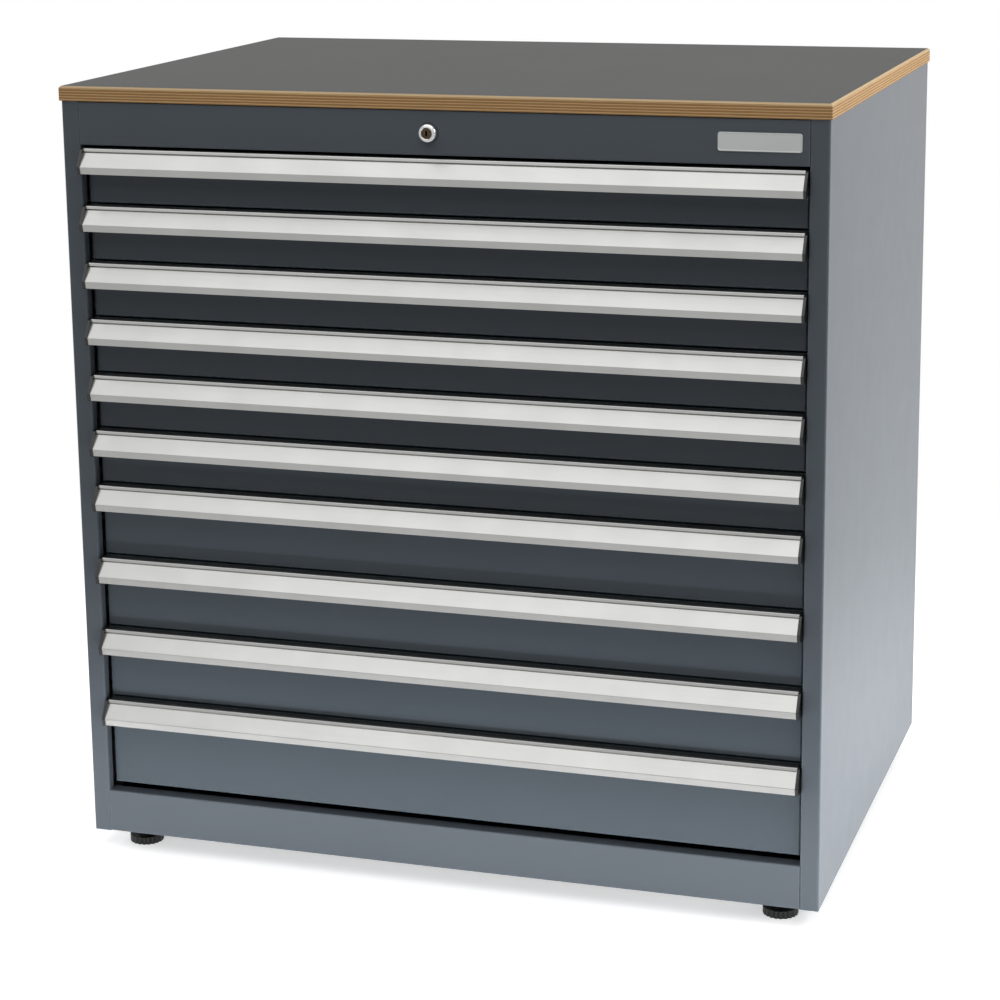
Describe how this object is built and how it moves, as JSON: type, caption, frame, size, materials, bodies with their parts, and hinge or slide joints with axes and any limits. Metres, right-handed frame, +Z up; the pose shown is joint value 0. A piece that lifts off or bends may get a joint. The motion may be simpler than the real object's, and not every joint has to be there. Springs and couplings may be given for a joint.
{
  "type": "tool cabinet",
  "caption": "Freestanding steel drawer cabinet: full-width drawers with aluminium grip rails, central lock, plywood worktop and levelling feet.",
  "frame": {"origin": "on the floor, under the middle of the cabinet's outline", "axes": "+X to the right as seen from the front, +Y from the front to the back, +Z up"},
  "size_m": [1.009, 0.7543, 1.044],
  "materials": {
    "housing_paint": "satin powder coat, fine orange peel",
    "drawer_paint": "satin powder coat, fine orange peel",
    "plywood": "sealed plywood edge under a dark coated face",
    "zinc_steel": "zinc-plated",
    "chrome": "polished",
    "dark_steel": "turned and burnished",
    "aluminium": "satin anodised",
    "black_plastic": "satin"
  },
  "bodies": {
    "housing": {"side_left": "housing_paint", "side_right": "housing_paint", "header": "housing_paint", "plinth": "housing_paint", "base_panel": "housing_paint", "top_panel": "housing_paint", "back_panel": "housing_paint", "worktop": "plywood", "uprights": "zinc_steel", "runners_left": "zinc_steel", "runners_right": "zinc_steel", "lock_housing": "chrome", "weld_nuts": "zinc_steel"},
    "lock_plug": {"lock_plug": "dark_steel"},
    "lock_bar": {"lock_bar": "zinc_steel"},
    "lock_rail": {"lock_rail": "zinc_steel"},
    "foot_1": {"foot_1": "black_plastic"},
    "foot_2": {"foot_2": "black_plastic"},
    "foot_3": {"foot_3": "black_plastic"},
    "foot_4": {"foot_4": "black_plastic"},
    "drawer_01": {"drawer_01_tray": "drawer_paint", "drawer_01_handle": "aluminium", "drawer_01_end_caps": "black_plastic"},
    "drawer_01_rails": {"drawer_01_middle_rails": "zinc_steel"},
    "drawer_02": {"drawer_02_tray": "drawer_paint", "drawer_02_handle": "aluminium", "drawer_02_end_caps": "black_plastic"},
    "drawer_02_rails": {"drawer_02_middle_rails": "zinc_steel"},
    "drawer_03": {"drawer_03_tray": "drawer_paint", "drawer_03_handle": "aluminium", "drawer_03_end_caps": "black_plastic"},
    "drawer_03_rails": {"drawer_03_middle_rails": "zinc_steel"},
    "drawer_04": {"drawer_04_tray": "drawer_paint", "drawer_04_handle": "aluminium", "drawer_04_end_caps": "black_plastic"},
    "drawer_04_rails": {"drawer_04_middle_rails": "zinc_steel"},
    "drawer_05": {"drawer_05_tray": "drawer_paint", "drawer_05_handle": "aluminium", "drawer_05_end_caps": "black_plastic"},
    "drawer_05_rails": {"drawer_05_middle_rails": "zinc_steel"},
    "drawer_06": {"drawer_06_tray": "drawer_paint", "drawer_06_handle": "aluminium", "drawer_06_end_caps": "black_plastic"},
    "drawer_06_rails": {"drawer_06_middle_rails": "zinc_steel"},
    "drawer_07": {"drawer_07_tray": "drawer_paint", "drawer_07_handle": "aluminium", "drawer_07_end_caps": "black_plastic"},
    "drawer_07_rails": {"drawer_07_middle_rails": "zinc_steel"},
    "drawer_08": {"drawer_08_tray": "drawer_paint", "drawer_08_handle": "aluminium", "drawer_08_end_caps": "black_plastic"},
    "drawer_08_rails": {"drawer_08_middle_rails": "zinc_steel"},
    "drawer_09": {"drawer_09_tray": "drawer_paint", "drawer_09_handle": "aluminium", "drawer_09_end_caps": "black_plastic"},
    "drawer_09_rails": {"drawer_09_middle_rails": "zinc_steel"},
    "drawer_10": {"drawer_10_tray": "drawer_paint", "drawer_10_handle": "aluminium", "drawer_10_end_caps": "black_plastic"},
    "drawer_10_rails": {"drawer_10_middle_rails": "zinc_steel"}
  },
  "joints": [
    {"name": "key_turn", "type": "hinge", "parent": "housing", "child": "lock_plug", "pos_m": [0, -0.36075, 0.9965], "axis": [0, -1, 0], "range_deg": [0, 90]},
    {"name": "lock_bar_slide", "type": "slide", "parent": "housing", "child": "lock_bar", "axis": [1, 0, 0], "range_m": [0, 0.01131]},
    {"name": "lock_rail_lift", "type": "slide", "parent": "housing", "child": "lock_rail", "axis": [0, 0, 1], "range_m": [0, 0.008]},
    {"name": "foot_1_screw", "type": "slide", "parent": "housing", "child": "foot_1", "axis": [0, 0, -1], "range_m": [0, 0.02]},
    {"name": "foot_2_screw", "type": "slide", "parent": "housing", "child": "foot_2", "axis": [0, 0, -1], "range_m": [0, 0.02]},
    {"name": "foot_3_screw", "type": "slide", "parent": "housing", "child": "foot_3", "axis": [0, 0, -1], "range_m": [0, 0.02]},
    {"name": "foot_4_screw", "type": "slide", "parent": "housing", "child": "foot_4", "axis": [0, 0, -1], "range_m": [0, 0.02]},
    {"name": "drawer_01_slide", "type": "slide", "parent": "housing", "child": "drawer_01", "axis": [0, -1, 0], "range_m": [0, 0.62]},
    {"name": "drawer_01_rails_slide", "type": "slide", "parent": "housing", "child": "drawer_01_rails", "axis": [0, -1, 0], "range_m": [0, 0.31]},
    {"name": "drawer_02_slide", "type": "slide", "parent": "housing", "child": "drawer_02", "axis": [0, -1, 0], "range_m": [0, 0.62]},
    {"name": "drawer_02_rails_slide", "type": "slide", "parent": "housing", "child": "drawer_02_rails", "axis": [0, -1, 0], "range_m": [0, 0.31]},
    {"name": "drawer_03_slide", "type": "slide", "parent": "housing", "child": "drawer_03", "axis": [0, -1, 0], "range_m": [0, 0.62]},
    {"name": "drawer_03_rails_slide", "type": "slide", "parent": "housing", "child": "drawer_03_rails", "axis": [0, -1, 0], "range_m": [0, 0.31]},
    {"name": "drawer_04_slide", "type": "slide", "parent": "housing", "child": "drawer_04", "axis": [0, -1, 0], "range_m": [0, 0.62]},
    {"name": "drawer_04_rails_slide", "type": "slide", "parent": "housing", "child": "drawer_04_rails", "axis": [0, -1, 0], "range_m": [0, 0.31]},
    {"name": "drawer_05_slide", "type": "slide", "parent": "housing", "child": "drawer_05", "axis": [0, -1, 0], "range_m": [0, 0.62]},
    {"name": "drawer_05_rails_slide", "type": "slide", "parent": "housing", "child": "drawer_05_rails", "axis": [0, -1, 0], "range_m": [0, 0.31]},
    {"name": "drawer_06_slide", "type": "slide", "parent": "housing", "child": "drawer_06", "axis": [0, -1, 0], "range_m": [0, 0.62]},
    {"name": "drawer_06_rails_slide", "type": "slide", "parent": "housing", "child": "drawer_06_rails", "axis": [0, -1, 0], "range_m": [0, 0.31]},
    {"name": "drawer_07_slide", "type": "slide", "parent": "housing", "child": "drawer_07", "axis": [0, -1, 0], "range_m": [0, 0.62]},
    {"name": "drawer_07_rails_slide", "type": "slide", "parent": "housing", "child": "drawer_07_rails", "axis": [0, -1, 0], "range_m": [0, 0.31]},
    {"name": "drawer_08_slide", "type": "slide", "parent": "housing", "child": "drawer_08", "axis": [0, -1, 0], "range_m": [0, 0.62]},
    {"name": "drawer_08_rails_slide", "type": "slide", "parent": "housing", "child": "drawer_08_rails", "axis": [0, -1, 0], "range_m": [0, 0.31]},
    {"name": "drawer_09_slide", "type": "slide", "parent": "housing", "child": "drawer_09", "axis": [0, -1, 0], "range_m": [0, 0.62]},
    {"name": "drawer_09_rails_slide", "type": "slide", "parent": "housing", "child": "drawer_09_rails", "axis": [0, -1, 0], "range_m": [0, 0.31]},
    {"name": "drawer_10_slide", "type": "slide", "parent": "housing", "child": "drawer_10", "axis": [0, -1, 0], "range_m": [0, 0.62]},
    {"name": "drawer_10_rails_slide", "type": "slide", "parent": "housing", "child": "drawer_10_rails", "axis": [0, -1, 0], "range_m": [0, 0.31]}
  ],
  "couplings": [
    {"joint": "key_turn", "follows": "lock_bar_slide", "rad_per_m": 138.84},
    {"joint": "lock_rail_lift", "follows": "lock_bar_slide", "ratio": 0.70709},
    {"joint": "drawer_01_rails_slide", "follows": "drawer_01_slide", "ratio": 0.5},
    {"joint": "drawer_02_rails_slide", "follows": "drawer_02_slide", "ratio": 0.5},
    {"joint": "drawer_03_rails_slide", "follows": "drawer_03_slide", "ratio": 0.5},
    {"joint": "drawer_04_rails_slide", "follows": "drawer_04_slide", "ratio": 0.5},
    {"joint": "drawer_05_rails_slide", "follows": "drawer_05_slide", "ratio": 0.5},
    {"joint": "drawer_06_rails_slide", "follows": "drawer_06_slide", "ratio": 0.5},
    {"joint": "drawer_07_rails_slide", "follows": "drawer_07_slide", "ratio": 0.5},
    {"joint": "drawer_08_rails_slide", "follows": "drawer_08_slide", "ratio": 0.5},
    {"joint": "drawer_09_rails_slide", "follows": "drawer_09_slide", "ratio": 0.5},
    {"joint": "drawer_10_rails_slide", "follows": "drawer_10_slide", "ratio": 0.5}
  ]
}
